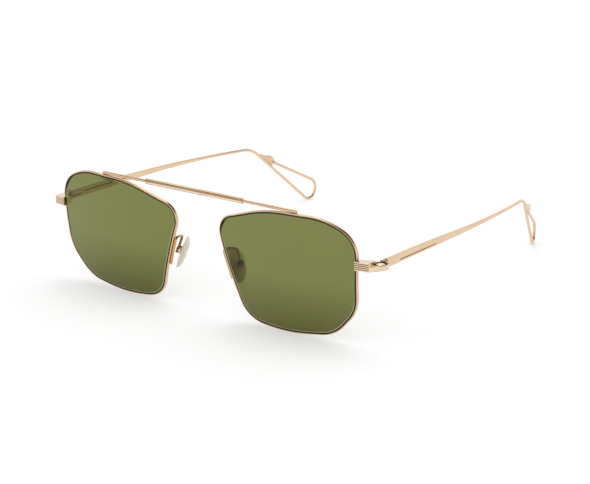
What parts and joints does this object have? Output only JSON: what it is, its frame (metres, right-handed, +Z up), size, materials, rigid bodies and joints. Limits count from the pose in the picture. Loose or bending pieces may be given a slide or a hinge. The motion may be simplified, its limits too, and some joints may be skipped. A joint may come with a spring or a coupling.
{
  "type": "aviator sunglasses",
  "caption": "Gold wire aviator sunglasses with tinted teardrop lenses, a straight brow bar, rocking nose pads and folding temples that end in wire loops.",
  "frame": {"origin": "centre of the footprint of the open glasses, on the surface that they stand on", "axes": "+X towards the wearer's left, +Y to the rear along the open temples, +Z up"},
  "size_m": [0.1414, 0.145, 0.045],
  "materials": {
    "lens_tint": "olive green tint, polished",
    "polished_gold": "polished light gold plate",
    "satin_gold": "satin light gold plate",
    "pale_gold": "bright pale gold plate",
    "pad_cream": "soft cream",
    "pad_core": "moulded insert"
  },
  "bodies": {
    "front": {"brow_bar": "polished_gold", "brow_sleeve": "pale_gold", "lens_left": "lens_tint", "lens_right": "lens_tint", "rim_left": "polished_gold", "rim_right": "polished_gold", "end_piece_left": "pale_gold", "end_piece_right": "pale_gold", "lock_block_left": "polished_gold", "lock_block_right": "polished_gold", "lock_screw_left": "pale_gold", "lock_screw_right": "pale_gold", "hinge_screw_left": "pale_gold", "hinge_screw_right": "pale_gold", "pad_arm_left": "polished_gold", "pad_arm_right": "polished_gold", "pad_box_left": "polished_gold", "pad_box_right": "polished_gold", "pad_screw_left": "pale_gold", "pad_screw_right": "pale_gold"},
    "left_temple": {"temple_left": "satin_gold", "hinge_tongue_left": "polished_gold", "loop_tab_left": "satin_gold"},
    "right_temple": {"temple_right": "satin_gold", "hinge_tongue_right": "polished_gold", "loop_tab_right": "satin_gold"},
    "left_pad": {"nose_pad_left": "pad_cream", "pad_core_left": "pad_core"},
    "right_pad": {"nose_pad_right": "pad_cream", "pad_core_right": "pad_core"}
  },
  "joints": [
    {"name": "temple_fold_left", "type": "hinge", "parent": "front", "child": "left_temple", "pos_m": [0.06796, -0.06063, 0.02785], "axis": [0, 0, 1], "range_deg": [0, 82]},
    {"name": "temple_fold_right", "type": "hinge", "parent": "front", "child": "right_temple", "pos_m": [-0.06796, -0.06063, 0.02785], "axis": [0, 0, -1], "range_deg": [0, 75]},
    {"name": "pad_rock_left", "type": "hinge", "parent": "front", "child": "left_pad", "pos_m": [0.01333, -0.06276, 0.01878], "axis": [0.4293, 0.9016, 0.0539], "range_deg": [-8, 8]},
    {"name": "pad_rock_right", "type": "hinge", "parent": "front", "child": "right_pad", "pos_m": [-0.01333, -0.06276, 0.01878], "axis": [0.4293, -0.9016, -0.0539], "range_deg": [-8, 8]}
  ]
}
